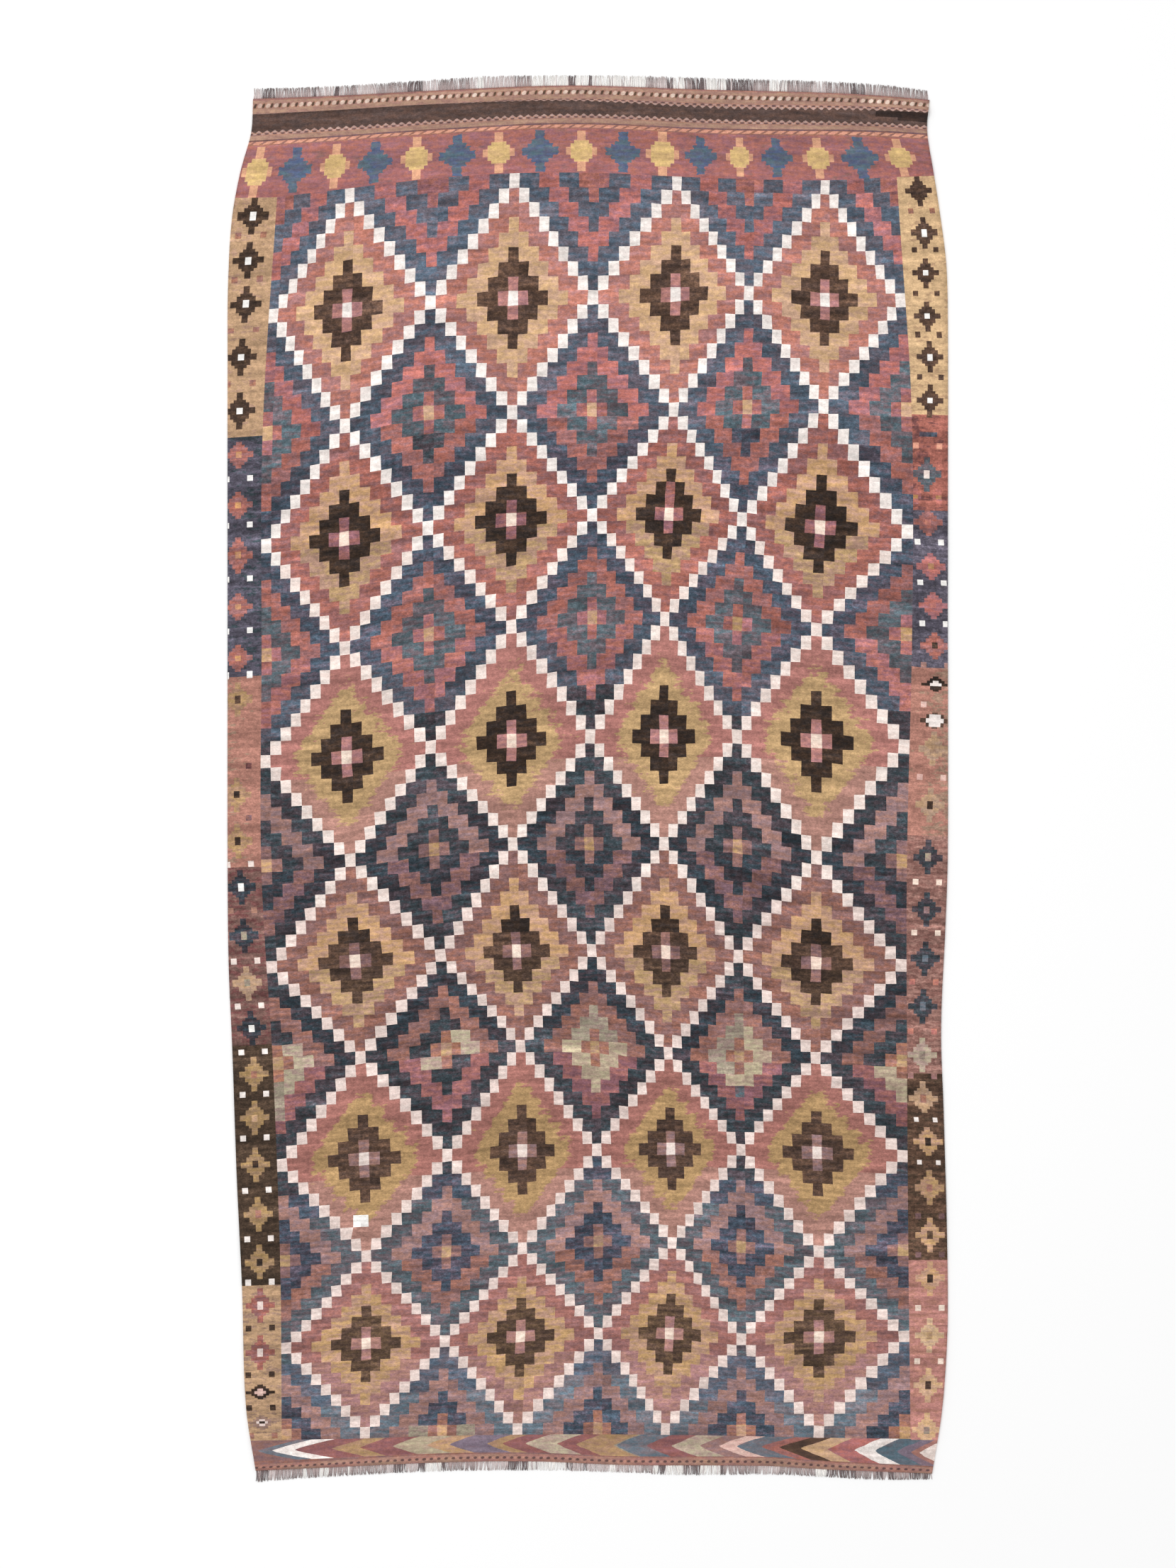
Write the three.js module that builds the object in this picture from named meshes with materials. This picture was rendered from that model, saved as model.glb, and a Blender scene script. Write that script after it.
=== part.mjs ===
// A flat-woven wool rug, a kilim with a field of stepped diamonds, lying flat on a floor.
// Millimetres, +Z up. The origin is on the floor under the middle of the whole rug, fringes included.
// +Y runs along the warps, towards the end with the dark band, and +X runs across them.
// The cloth is one woven piece, whose edges bow and wander as hand-woven edges do. The free ends of
// its warps, knotted into tufts, make one comb along each end.
import * as THREE from "three";

// Driving dimensions
const rugWidth = 1500; // across the widest part
const rugLength = 2930; // between the tips of the two fringes
const clothThickness = 3;
const fringeThickness = 2.4;
const combGap = 0.3; // between the cloth's end and the comb of warp ends that leaves it
const combRoot = 3; // depth of the unbroken root that carries the tufts
const tuftPitch = 15; // a few warps to a tuft
const tuftRootShare = 0.62; // the part of its pitch that a tuft fills at its root
const tuftTipShare = 0.4; // and at its tip
const wornAway = 3.5; // how much shorter the most worn tufts are
const tuftLean = 2.2; // how far the tips stray sideways

const halfWidth = rugWidth / 2;
const halfLength = rugLength / 2;

// How far each selvedge lies inside the rug's widest line, at places along the warps.
const leftSelvedge = [
  { along: 1413, inside: 56 },
  { along: 1345, inside: 51 },
  { along: 1265, inside: 27 },
  { along: 1165, inside: 9 },
  { along: 1028, inside: 1 },
  { along: 870, inside: 0 },
  { along: 300, inside: 0 },
  { along: -160, inside: 0 },
  { along: -380, inside: 2 },
  { along: -570, inside: 10 },
  { along: -830, inside: 19 },
  { along: -1060, inside: 30 },
  { along: -1305, inside: 38 },
  { along: -1440, inside: 58 },
];
const rightSelvedge = [
  { along: 1414, inside: 38 },
  { along: 1350, inside: 43 },
  { along: 1270, inside: 31 },
  { along: 1187, inside: 18 },
  { along: 1080, inside: 4 },
  { along: 975, inside: 0 },
  { along: 400, inside: 0 },
  { along: -160, inside: 0 },
  { along: -310, inside: 5 },
  { along: -520, inside: 14 },
  { along: -680, inside: 9 },
  { along: -930, inside: 2 },
  { along: -1125, inside: 0 },
  { along: -1235, inside: 5 },
  { along: -1325, inside: 13 },
  { along: -1438, inside: 31 },
];

// How far the woven edge of each end lies inside the line through its fringe's furthest tips.
const darkBandEnd = [
  { across: -694, inside: 52 },
  { across: -517, inside: 42 },
  { across: -307, inside: 29 },
  { across: 0, inside: 22 },
  { across: 222, inside: 27 },
  { across: 431, inside: 33 },
  { across: 712, inside: 51 },
];
const chevronEnd = [
  { across: -692, inside: 25 },
  { across: -350, inside: 32 },
  { across: 10, inside: 38 },
  { across: 380, inside: 34 },
  { across: 719, inside: 27 },
];
const darkBandFringe = 22; // length of the longest tufts
const chevronFringe = 24;

const selvedgeSteps = 90;
const endSteps = 48;

const roseWool = 0xb5635c;
const undyedWool = 0xc9b5a2;

const point = (x, y) => new THREE.Vector2(x, y);

// Smooth lines through the tables, each running the way that its table does.
const leftLine = new THREE.SplineCurve(leftSelvedge.map((s) => point(s.inside - halfWidth, s.along)));
const rightLine = new THREE.SplineCurve(rightSelvedge.map((s) => point(halfWidth - s.inside, s.along)));
const darkBandLine = new THREE.SplineCurve(
  darkBandEnd.map((s) => point(s.across, halfLength - s.inside)),
);
const chevronLine = new THREE.SplineCurve(
  chevronEnd.map((s) => point(s.across, s.inside - halfLength)),
);

// A flat solid from an outline, lying on the floor.
function flatPiece(outline, thickness) {
  return new THREE.ExtrudeGeometry(new THREE.Shape(outline), { depth: thickness, bevelEnabled: false });
}

// The woven cloth, from selvedge to selvedge and end to end.
function cloth() {
  const down = leftLine.getSpacedPoints(selvedgeSteps);
  const across = chevronLine.getSpacedPoints(endSteps);
  const up = rightLine.getSpacedPoints(selvedgeSteps).reverse();
  const back = darkBandLine.getSpacedPoints(endSteps).reverse();
  // The lines meet at the corners, so each leaves its last point to the next.
  const outline = [down, across, up, back].flatMap((line) => line.slice(0, -1));
  return flatPiece(outline, clothThickness);
}

// One end's warps in tufts. outward is 1 where they leave the cloth towards +Y, and -1 towards -Y.
function fringe(line, outward, reach) {
  const tufts = Math.round(line.getLength() / tuftPitch);
  const root = [];
  const tips = [];
  for (let i = 0; i < tufts; i++) {
    const start = line.getPointAt(i / tufts);
    const end = line.getPointAt((i + 1) / tufts);
    // A corner of this tuft: how far across its pitch, how far out of the cloth, and its lean.
    const corner = (share, out, lean) => start.clone().lerp(end, share).add(point(lean, outward * out));
    const length = reach - wornAway * Math.abs(Math.sin(i * 2.4));
    const lean = tuftLean * Math.sin(i * 1.7);
    const rootSide = (1 - tuftRootShare) / 2;
    const tipSide = (1 - tuftTipShare) / 2;
    root.push(corner(0, combGap, 0));
    tips.push(
      corner(rootSide, combRoot, 0),
      corner(tipSide, length, lean),
      corner(1 - tipSide, length, lean),
      corner(1 - rootSide, combRoot, 0),
    );
  }
  root.push(line.getPointAt(1).add(point(0, outward * combGap)));
  return flatPiece([...root, ...tips.reverse()], fringeThickness);
}

// One named mesh for each piece of wool.
function piece(name, geometry, colour) {
  const wool = new THREE.MeshStandardMaterial({ color: colour, roughness: 0.95, metalness: 0 });
  const mesh = new THREE.Mesh(geometry, wool);
  mesh.name = name;
  return mesh;
}

const rug = new THREE.Group();
rug.add(
  piece("woven_cloth", cloth(), roseWool),
  piece("fringe_dark_band_end", fringe(darkBandLine, 1, darkBandFringe), undyedWool),
  piece("fringe_chevron_end", fringe(chevronLine, -1, chevronFringe), undyedWool),
);

export default rug;
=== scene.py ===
# A flat-woven wool kilim lying flat: a net of stepped diamonds between two motif borders, a dark band at
# one end, a row of chevrons at the other, and the short ends of the warps beyond each.
# Blender works in metres. The tables are in millimetres, in the rug's own frame: +X across the warps,
# +Y along them towards the dark band, +Z up, and the origin on the floor under the rug's middle.
import bisect
import functools
import math
import random
import bmesh
import bpy
from mathutils import Matrix, Vector, noise


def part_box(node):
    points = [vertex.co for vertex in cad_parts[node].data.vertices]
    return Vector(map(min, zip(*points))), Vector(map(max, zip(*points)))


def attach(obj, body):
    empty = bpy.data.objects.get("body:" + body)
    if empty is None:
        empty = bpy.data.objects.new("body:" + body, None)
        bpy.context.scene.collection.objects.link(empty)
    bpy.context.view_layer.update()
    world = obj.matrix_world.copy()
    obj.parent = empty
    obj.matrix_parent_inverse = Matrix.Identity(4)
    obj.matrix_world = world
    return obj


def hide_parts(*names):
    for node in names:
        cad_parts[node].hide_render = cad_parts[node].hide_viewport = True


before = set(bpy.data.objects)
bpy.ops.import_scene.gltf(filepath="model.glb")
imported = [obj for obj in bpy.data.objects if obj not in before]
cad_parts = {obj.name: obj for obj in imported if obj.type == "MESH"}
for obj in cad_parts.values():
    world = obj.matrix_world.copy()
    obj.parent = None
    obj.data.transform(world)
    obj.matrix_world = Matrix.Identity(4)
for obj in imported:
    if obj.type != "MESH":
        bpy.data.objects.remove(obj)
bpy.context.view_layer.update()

MM = 0.001
cloth_low, cloth_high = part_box("woven_cloth")
THICKNESS = cloth_high[2] / MM
HALF_WIDTH = 750
HALF_LENGTH = 1465

# ----------------------------------------
# Camera and light: straight above, through a long lens, in even studio light.
# ----------------------------------------

VIEW_HEIGHT = 3266  # how much of the floor the view takes in, from top to bottom
VIEW_MIDDLE = (0.7, -11.8)
LENS = 90
SENSOR = 36
STUDIO_LIGHT = 0.86
SOFT_BOX_SIZE = 4.0
SOFT_BOX_POWER = 100
SOFT_BOX_PLACE = (-2.4, 1.3, 5.2)


def set_camera():
    data = bpy.data.cameras.new("overhead_camera")
    data.lens = LENS
    data.sensor_width = SENSOR
    data.clip_end = 100
    camera = bpy.data.objects.new("overhead_camera", data)
    bpy.context.collection.objects.link(camera)
    above = VIEW_HEIGHT * LENS / SENSOR + THICKNESS
    camera.location = Vector((VIEW_MIDDLE[0], VIEW_MIDDLE[1], above)) * MM
    bpy.context.scene.camera = camera


def set_lights():
    world = bpy.data.worlds.new("studio")
    world.use_nodes = True
    background = world.node_tree.nodes["Background"]
    background.inputs["Color"].default_value = (1.0, 1.0, 1.0, 1.0)
    background.inputs["Strength"].default_value = STUDIO_LIGHT
    bpy.context.scene.world = world
    data = bpy.data.lights.new("soft_box", "AREA")
    data.shape = "RECTANGLE"
    data.size = SOFT_BOX_SIZE
    data.size_y = SOFT_BOX_SIZE
    data.energy = SOFT_BOX_POWER
    lamp = bpy.data.objects.new("soft_box", data)
    bpy.context.collection.objects.link(lamp)
    lamp.location = SOFT_BOX_PLACE
    lamp.rotation_euler = (-lamp.location).to_track_quat("-Z", "Y").to_euler()
    bpy.context.scene.view_settings.view_transform = "Standard"


set_camera()
set_lights()

# ----------------------------------------
# The loom: where each step and course of the weave lies.
# ----------------------------------------

STEPS = 65  # across the field, each a few warps wide
COURSES = 97  # along the field
REPEAT = 16  # steps, and courses, from one diamond's heart to the next
THIN = 5  # a border course is a fifth of a field course

# Across: how far over each eighth step's middle lies, at every sixteenth course from the dark-band end.
WARP_COURSES = (0, 16, 32, 48, 64, 80, 96)
WARPS = {
    0: (-639, -667, -669, -669, -645, -630, -627),
    8: (-496, -506, -506, -495, -473, -461, -464),
    16: (-322, -331, -331, -320, -294, -294, -303),
    24: (-152, -158, -159, -156, -140, -136, -146),
    32: (13, 9, 9, 3, 15, 22, 21),
    40: (186, 179, 161, 159, 168, 176, 162),
    48: (337, 332, 312, 312, 316, 320, 320),
    56: (495, 491, 477, 477, 475, 481, 481),
    64: (636, 664, 664, 654, 654, 657, 661),
}

# Along: how far up each eighth course's middle lies, at every eighth step.
WEFT_COURSES = (0, 8, 16, 24, 32, 40, 48, 56, 64, 72, 80, 88, 96)
WEFTS = {
    0: (1197, 963, 718, 484, 257, 35, -182, -393, -594, -806, -1005, -1187, -1367),
    8: (1214, 975, 734, 499, 272, 44, -171, -381, -582, -793, -995, -1177, -1363),
    16: (1234, 991, 762, 521, 300, 65, -148, -369, -564, -785, -986, -1172, -1358),
    24: (1245, 1000, 762, 539, 316, 78, -137, -360, -557, -776, -979, -1162, -1355),
    32: (1246, 1002, 768, 548, 335, 87, -136, -359, -560, -774, -964, -1156, -1354),
    40: (1239, 1008, 768, 551, 332, 87, -136, -362, -573, -772, -967, -1156, -1355),
    48: (1234, 1011, 773, 539, 322, 87, -142, -371, -579, -774, -976, -1168, -1358),
    56: (1231, 997, 775, 523, 310, 78, -165, -385, -582, -780, -985, -1163, -1361),
    64: (1237, 996, 768, 514, 300, 66, -173, -390, -588, -787, -983, -1162, -1363),
}

# How far each selvedge lies inside the rug's widest line: (along, inside).
LEFT_SELVEDGE = ((-1440, 58), (-1305, 38), (-1060, 30), (-830, 19), (-570, 10), (-380, 2), (-160, 0),
                 (300, 0), (870, 0), (1028, 1), (1165, 9), (1265, 27), (1345, 49), (1413, 53))
RIGHT_SELVEDGE = ((-1438, 31), (-1325, 13), (-1235, 5), (-1125, 0), (-930, 2), (-680, 9), (-520, 14),
                  (-310, 5), (-160, 0), (400, 0), (975, 0), (1080, 4), (1187, 18), (1270, 31), (1350, 43),
                  (1414, 38))

# How far each woven end lies inside the rug's furthest line: (across, inside).
DARK_BAND_END = ((-697, 50), (-517, 43), (-307, 32), (-40, 22), (222, 30), (489, 37), (607, 43), (712, 52))
CHEVRON_END = ((-692, 23), (-515, 31), (-279, 41), (-100, 42), (75, 35), (371, 33), (489, 26), (719, 17))


def slope(rows, near):
    """The slope of a smooth curve through the rows at one of them."""
    before = rows[max(near - 1, 0)]
    after = rows[min(near + 1, len(rows) - 1)]
    return (after[1] - before[1]) / (after[0] - before[0])


def smooth(rows, at):
    """The value at a place on the smooth curve through (place, value) rows, straight past its ends."""
    first, last = rows[0], rows[-1]
    if at <= first[0]:
        return first[1] + (at - first[0]) * slope(rows, 0)
    if at >= last[0]:
        return last[1] + (at - last[0]) * slope(rows, len(rows) - 1)
    near = bisect.bisect_right(rows, (at, math.inf)) - 1
    (start, value), (end, target) = rows[near], rows[near + 1]
    span = end - start
    part = (at - start) / span
    lead = (part ** 3 - 2 * part ** 2 + part) * span * slope(rows, near)
    tail = (part ** 3 - part ** 2) * span * slope(rows, near + 1)
    ease = 3 * part ** 2 - 2 * part ** 3
    return value + (target - value) * ease + lead + tail


@functools.lru_cache(maxsize=None)
def lines_at(course):
    """Where the nine lines of the loom lie, across and along, at one course."""
    across = [(step, smooth(tuple(zip(WARP_COURSES, places)), course)) for step, places in WARPS.items()]
    along = [(step, smooth(tuple(zip(WEFT_COURSES, places)), course)) for step, places in WEFTS.items()]
    return across, along


def field_place(step, course):
    across, along = lines_at(course)
    return smooth(across, step), smooth(along, step)


def selvedge(side, along):
    if side < 0:
        return -HALF_WIDTH + smooth(LEFT_SELVEDGE, along)
    return HALF_WIDTH - smooth(RIGHT_SELVEDGE, along)


# ----------------------------------------
# Yarns
# ----------------------------------------

# Each is spun from two lots of wool, carded together: the colour of the one and of the other.
YARNS = {
    "bleached": ((254, 251, 247), (250, 246, 242)),
    "ivory": ((250, 241, 235), (246, 234, 228)),
    "warm ivory": ((246, 231, 223), (242, 222, 213)),
    "rosy ivory": ((240, 221, 213), (230, 208, 200)),
    "cream": ((250, 230, 213), (242, 214, 198)),
    "shell": ((230, 196, 184), (218, 176, 166)),
    "peat": ((66, 49, 38), (54, 44, 40)),
    "bark": ((80, 61, 48), (70, 54, 46)),
    "walnut": ((96, 72, 58), (80, 62, 54)),
    "cocoa": ((100, 78, 60), (88, 68, 58)),
    "band brown": ((92, 70, 62), (84, 68, 64)),
    "camel": ((214, 175, 132), (204, 166, 140)),
    "pale camel": ((217, 182, 140), (205, 172, 146)),
    "biscuit": ((203, 161, 116), (194, 154, 132)),
    "olive camel": ((190, 157, 114), (178, 142, 124)),
    "honey": ((224, 190, 128), (212, 176, 128)),
    "gold": ((180, 146, 103), (168, 132, 110)),
    "ochre": ((194, 156, 110), (184, 146, 126)),
    "saffron": ((204, 152, 100), (190, 140, 112)),
    "coral": ((200, 132, 112), (186, 118, 112)),
    "salmon": ((190, 116, 106), (164, 112, 118)),
    "madder": ((176, 112, 100), (156, 106, 112)),
    "brick": ((168, 104, 92), (148, 104, 104)),
    "brick rose": ((178, 112, 98), (156, 106, 104)),
    "rose": ((190, 124, 108), (170, 122, 120)),
    "dusty rose": ((178, 121, 113), (166, 118, 116)),
    "faded rose": ((176, 131, 119), (166, 123, 124)),
    "old rose": ((169, 114, 105), (154, 110, 108)),
    "mauve": ((162, 122, 112), (148, 120, 122)),
    "russet": ((154, 106, 92), (138, 104, 102)),
    "wine": ((138, 98, 90), (122, 94, 102)),
    "mulberry": ((164, 108, 102), (142, 98, 106)),
    "plum": ((150, 110, 100), (132, 102, 104)),
    "pink": ((188, 132, 124), (170, 122, 124)),
    "rust": ((170, 118, 96), (152, 110, 104)),
    "denim": ((88, 102, 118), (108, 102, 112)),
    "blue": ((78, 92, 106), (100, 92, 102)),
    "navy": ((70, 84, 98), (92, 84, 96)),
    "indigo": ((66, 78, 92), (84, 76, 88)),
    "ink": ((59, 70, 76), (78, 68, 74)),
    "night": ((50, 62, 70), (70, 60, 66)),
    "slate": ((86, 100, 107), (106, 94, 100)),
    "teal slate": ((86, 104, 112), (112, 98, 104)),
    "smoke": ((102, 118, 130), (124, 116, 122)),
    "sage": ((192, 180, 152), (178, 152, 142)),
    "pale sage": ((186, 174, 144), (174, 152, 134)),
    "grey sage": ((160, 150, 130), (150, 128, 120)),
    "tan": ((184, 148, 126), (170, 130, 118)),
    "clay": ((180, 134, 114), (160, 120, 112)),
    "fawn": ((190, 155, 122), (178, 148, 128)),
    "straw": ((180, 146, 114), (170, 138, 120)),
    "wheat": ((172, 140, 96), (162, 132, 104)),
    "dun": ((160, 130, 112), (152, 122, 114)),
    "rose tan": ((178, 126, 112), (166, 120, 116)),
    "umber rose": ((126, 95, 88), (118, 90, 92)),
    "loam": ((76, 60, 48), (68, 55, 47)),
    "dusk": ((84, 80, 92), (96, 78, 86)),
    "haze": ((104, 98, 110), (114, 98, 106)),
    "burgundy": ((122, 78, 76), (108, 74, 80)),
    "garnet": ((152, 98, 92), (140, 94, 98)),
    "peach": ((228, 166, 140), (214, 150, 130)),
    "dusty clay": ((170, 122, 106), (158, 112, 108)),
    "steel": ((88, 104, 138), (96, 98, 120)),
    "lilac": ((134, 120, 134), (124, 108, 122)),
    "verdigris": ((90, 114, 126), (102, 110, 120)),
    "white warp": ((246, 242, 238), (240, 236, 232)),
    "pale warp": ((216, 202, 200), (206, 191, 190)),
    "dusty warp": ((182, 164, 162), (168, 150, 149)),
    "dark warp": ((124, 108, 108), (112, 98, 98)),
}


def linear(level):
    share = level / 255
    return share / 12.92 if share <= 0.04045 else ((share + 0.055) / 1.055) ** 2.4


@functools.lru_cache(maxsize=None)
def dye(name, shade=1.0, ply=0):
    """The colour of one of a yarn's lots of wool as the shaders take it, lighter or darker by a shade."""
    return tuple(min(linear(level) * shade, 1.0) for level in YARNS[name][ply]) + (1.0,)


HEATHER_LEVEL = 150  # a yarn of this level wanders by 1
MOST_HEATHER = 2.0


def heather(name):
    """How strongly a yarn's tone wanders: the darker it is, the more."""
    return min(MOST_HEATHER, HEATHER_LEVEL / (sum(YARNS[name][0]) / 3))


# ----------------------------------------
# The field: two nets of stepped diamonds, framed by single steps of white.
# ----------------------------------------

# Framed diamonds, one row of them to a line: the yarns of the upper and then the lower half of the dark
# ring, the ochre ring and the rose ring, then the cross, the heart, and over how many steps the rose and
# the ochre are hatched into each other.
FRAMED = (
    ("walnut", "walnut", "camel", "camel", "rose", "rose", "pink", "ivory", 0),
    ("peat", "peat", "biscuit", "olive camel", "brick", "brick rose", "mulberry", "cream", 0),
    ("peat", "peat", "olive camel", "olive camel", "dusty rose", "faded rose", "pink", "cream", 0.75),
    ("walnut", "bark", "biscuit", "olive camel", "russet", "russet", "plum", "cream", 0),
    ("walnut", "walnut", "gold", "gold", "old rose", "faded rose", "mauve", "warm ivory", 0.4),
    ("cocoa", "cocoa", "ochre", "ochre", "old rose", "faded rose", "faded rose", "cream", 0),
)
# Blue diamonds between them: the upper and lower halves of the red ring and the inner ring, the cross, and
# the heart. The outer ring changes by its own lots below.
BLUE = (
    ("salmon", "salmon", "denim", "denim", "madder", "madder"),
    ("salmon", "brick", "teal slate", "teal slate", "madder", "camel"),
    ("brick", "madder", "slate", "slate", "madder", "ochre"),
    ("mauve", "wine", "ink", "night", "plum", "ochre"),
    ("russet", "mulberry", "ink", "ink", "rust", "olive camel"),
    ("mauve", "russet", "indigo", "indigo", "plum", "olive camel"),
    ("mauve", "mauve", "navy", "navy", "rust", "biscuit"),
)
# The outer blue rings' lots, each from a course on.
OUTER_LOTS = ((-1, "denim"), (8, "blue"), (19, "navy"), (34, "blue"), (38, "ink"), (46, "night"),
              (52, "ink"), (58, "night"), (64, "ink"), (74, "navy"), (76, "slate"), (89, "denim"),
              (93, "smoke"))
WHITE_LOTS = ((-1, "ivory"), (26, "warm ivory"), (52, "rosy ivory"))


def lot(lots, course):
    return [name for start, name in lots if start <= course][-1]


def heart_of(step, course, offset):
    """The nearest heart of one net of diamonds, and its distance in steps."""
    across = round((step - offset) / REPEAT) * REPEAT + offset
    down = round((course - offset) / REPEAT) * REPEAT + offset
    return across, down, abs(step - across) + abs(course - down)


def framed_yarn(step, course, heart, ring):
    """The yarn of a step in a framed diamond, and any yarn hatched into it, with over how many steps."""
    row = FRAMED[heart[1] // REPEAT]
    lower = course > heart[1]
    if ring == 0:
        return row[7], None
    if ring == 1:
        return row[6], None
    if ring <= 3:
        first_rows = heart[1] == 56 and course < heart[1] - 1
        return "peat" if first_rows else row[1 if lower else 0], None
    ochre = row[3 if lower else 2]
    rose = row[5 if course > heart[1] + 1 else 4]
    if row[8]:
        return ochre, (rose, row[8])
    return (ochre, None) if ring <= 5 else (rose, None)


def sage_yarn(heart, step, course):
    """The pale yarns that were worked into the middle row of blue diamonds, each in its own way."""
    down, over = course - heart[1], step - heart[0]
    if heart[0] == 0:
        return "ink"
    if heart[0] == 16:
        pale = down in (-1, 0) and over > 0 or down == 1 and over < 1
        return "sage" if pale else None
    if heart[0] == 32:
        return "grey sage" if down < 0 else "pale sage"
    if heart[0] == 48:
        grey = over < 0 or down < 0 and over < 1
        return "grey sage" if grey and down < 2 else "pale sage" if down < 3 else "teal slate"
    return "pale sage" if down > 0 else None


def blue_yarn(step, course, heart, ring):
    row = BLUE[heart[1] // REPEAT]
    lower = course > heart[1]
    top_of_field = heart[1] == 0
    end_of_field = heart[1] == COURSES - 1
    if ring >= 6:
        wander = (heart[0] // 4) % 3 - 1
        return lot(OUTER_LOTS, course + wander)
    if heart == (0, 64) and (ring in (2, 3) and course >= 63 or step == 0 and 66 <= course <= 68):
        return "grey sage" if step == 0 else "sage"
    if ring >= 4:
        return row[1 if lower else 0]
    if ring >= 2:
        pale = sage_yarn(heart, step, course) if heart[1] == 64 else None
        if end_of_field and course == heart[1] and heart[0] == 16:
            pale = "grey sage"
        return pale or row[3 if lower else 2]
    if ring == 1:
        return row[4]
    return row[4] if top_of_field else row[5]


# Steps that break the chart: (step, course) and the yarn.
STRAYS = {
    (16, 19): "ink", (15, 18): "ink", (16, 18): "ink", (17, 18): "ink",
    (47, 18): "navy", (48, 18): "navy", (49, 18): "navy", (48, 19): "navy",
    (7, 77): "bleached", (8, 77): "bleached",
    (40, 22): "brick",
}


def field_yarn(step, course):
    """The yarn of one step, any yarn hatched into it, the heart of its diamond and its ring."""
    if (step, course) in STRAYS:
        return STRAYS[step, course], None, None, 0
    across, down, ring = heart_of(step, course, REPEAT // 2)
    if ring < REPEAT // 2:
        yarn, hatched = framed_yarn(step, course, (across, down), ring)
        return yarn, hatched, (across, down), ring
    if ring == REPEAT // 2:
        return lot(WHITE_LOTS, course), None, None, 0
    across, down, ring = heart_of(step, course, 0)
    return blue_yarn(step, course, (across, down), ring), None, (across, down), ring


# ----------------------------------------
# The borders: panels of ground, each with its own row of motifs.
# ----------------------------------------

MOTIF_LINES = (30.5, 18.5, 12, 6)  # the edges of a motif's steps, either side of the motifs' line
OUTERMOST, OUTER, INNER = MOTIF_LINES[:3]
# A shape is a list of (half height, half width), and its middle another.
SHAPES = {
    "star": (((6, 30.5), (16, 18.5), (21.5, 12), (36, 6)), ((8.5, 6),)),
    "flower": (((7, 30.5), (15, 18.5), (21, 12), (28, 6)), ((5.5, 6),)),
    "tall flower": (((8, 30.5), (18, 18.5), (28, 12), (38, 6)), ((6.5, 6),)),
    "lozenge": (((2, 30.5), (7, 18.5), (12, 12), (15.5, 6)), ((8, 6), (4, 12))),
    "eye": (((3.5, 30.5), (9, 18.5), (13.5, 12), (17, 6)), ((13, 6), (9, 12), (4.5, 18.5))),
    "dash": (((5, 18.5),), ()),
    "speck": (((3, 6),), ()),
}
DOT_HEIGHT = 6  # half of it
MOTIF_REACH = 40  # no motif is higher or wider than this, either way
# Half the height of a twin flower at its middle, at its inner side, and of its heart.
TWIN_HEIGHT, TWIN_SIDE, TWIN_HEART = 17, 8, 5
CARRIED_TILT = 0.7  # how much of the slant of the field's wefts the borders carry on
FIRST_TILT = 0.1  # the left border's share of it at the first course
TILT_COURSES = 8  # over how many courses that share would grow by 1
TILT_STEPS = 8  # the slant is read over this many of the field's steps
SLANT_OVER = 30  # from the motifs' line to about the selvedge
LEAST_STEP = 0.5  # the narrowest that a border step gets
SETTLING = 0.36  # the furthest that a course moves to meet a motif's edge, in courses

# How large the motifs are from a place along on, down the border.
LEFT_GIRTHS = ((1500, 1.07), (713, 1.0))
RIGHT_GIRTHS = ((1500, 0.91), (756, 1.0), (-698, 0.8), (-724, 1.0), (-787, 0.8), (-812, 1.0))

# The line that the motifs follow: (along, across).
LEFT_LINE = ((-1342, -678), (-1277, -682), (-1098, -682), (-908, -686), (-805, -692), (-616, -695),
             (-520, -700), (-427, -709), (-328, -716), (-227, -722), (-131, -729), (-35, -731), (164, -729),
             (351, -728), (588, -728), (765, -725), (877, -722), (986, -712), (1079, -707), (1171, -697))
RIGHT_LINE = ((-1357, 706), (-1160, 712), (-951, 713), (-757, 709), (-667, 699), (-576, 697), (-475, 698),
              (-376, 703), (-164, 709), (-56, 713), (120, 723), (196, 725), (359, 720), (441, 715),
              (533, 709), (633, 706), (787, 713), (878, 713), (964, 707), (1053, 704), (1137, 701),
              (1224, 689))

# Panels, each down to a place along: its ground, the yarn hatched into it, and the share of that at the
# outer and at the inner edge.
LEFT_PANELS = (
    (713, "fawn", "tan", 0.35, 0.25),
    (211, "dusk", "ink", 0.2, 0.4),
    (-187, "dun", "rose tan", 0.5, 0.9),
    (-553, "umber rose", "burgundy", 0.45, 0.45),
    (-1056, "loam", "bark", 0.15, 0.2),
    (-1500, "fawn", "dun", 0.35, 0.35),
)
RIGHT_PANELS = (
    (756, "pale camel", "fawn", 0.3, 0.3),
    (560, "brick", "burgundy", 0.3, 0.5),
    (233, "dusk", "haze", 0.55, 0.35),
    (-121, "dun", "rose tan", 0.4, 0.9),
    (-616, "wine", "mauve", 0.5, 0.4),
    (-1001, "walnut", "loam", 0.4, 0.4),
    (-1500, "pink", "rose tan", 0.4, 0.5),
)

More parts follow.
